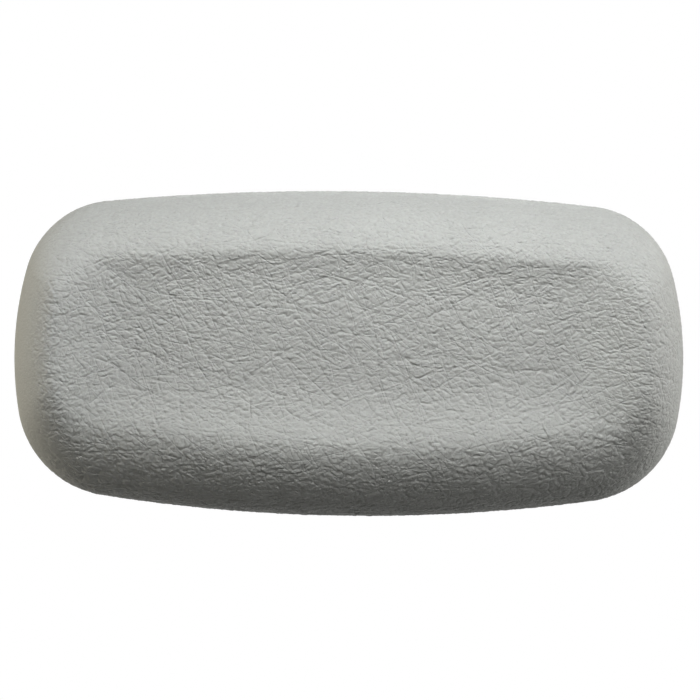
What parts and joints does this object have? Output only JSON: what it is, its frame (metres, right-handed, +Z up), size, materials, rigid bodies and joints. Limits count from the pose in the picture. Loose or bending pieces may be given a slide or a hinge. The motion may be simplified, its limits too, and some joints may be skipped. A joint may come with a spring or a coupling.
{
  "type": "bath pillow",
  "caption": "Moulded bath headrest with a wide shallow dish, a padded roll round it and a crumpled leather grain, held on the bath wall by swivelling suction cups.",
  "frame": {"origin": "middle of the plane that the suction cups' rims share, where they meet the bath wall", "axes": "+X to the right as seen from the front, +Y at the wall, +Z up; the dish faces -Y"},
  "size_m": [0.2998, 0.0667, 0.146],
  "materials": {
    "grained_skin": "satin",
    "rear_skin": "matte",
    "foam": "matte",
    "plate_plastic": "matte",
    "socket_plastic": "satin",
    "clear_vinyl": "gloss"
  },
  "bodies": {
    "pillow": {"front_skin": "grained_skin", "foam_core": "foam", "anchor_plate": "plate_plastic", "rear_panel": "rear_skin", "socket_upper_left": "socket_plastic", "socket_upper_right": "socket_plastic", "socket_lower_left": "socket_plastic", "socket_lower_right": "socket_plastic"},
    "upper_left_cup": {"suction_cup_upper_left": "clear_vinyl"},
    "upper_right_cup": {"suction_cup_upper_right": "clear_vinyl"},
    "lower_left_cup": {"suction_cup_lower_left": "clear_vinyl"},
    "lower_right_cup": {"suction_cup_lower_right": "clear_vinyl"}
  },
  "joints": [
    {"name": "upper_left_cup_swivel", "type": "hinge", "parent": "pillow", "child": "upper_left_cup", "pos_m": [-0.088, 0, 0.0285], "axis": [0, 1, 0], "continuous": true},
    {"name": "upper_right_cup_swivel", "type": "hinge", "parent": "pillow", "child": "upper_right_cup", "pos_m": [0.088, 0, 0.0285], "axis": [0, 1, 0], "continuous": true},
    {"name": "lower_left_cup_swivel", "type": "hinge", "parent": "pillow", "child": "lower_left_cup", "pos_m": [-0.088, 0, -0.0285], "axis": [0, 1, 0], "continuous": true},
    {"name": "lower_right_cup_swivel", "type": "hinge", "parent": "pillow", "child": "lower_right_cup", "pos_m": [0.088, 0, -0.0285], "axis": [0, 1, 0], "continuous": true}
  ]
}
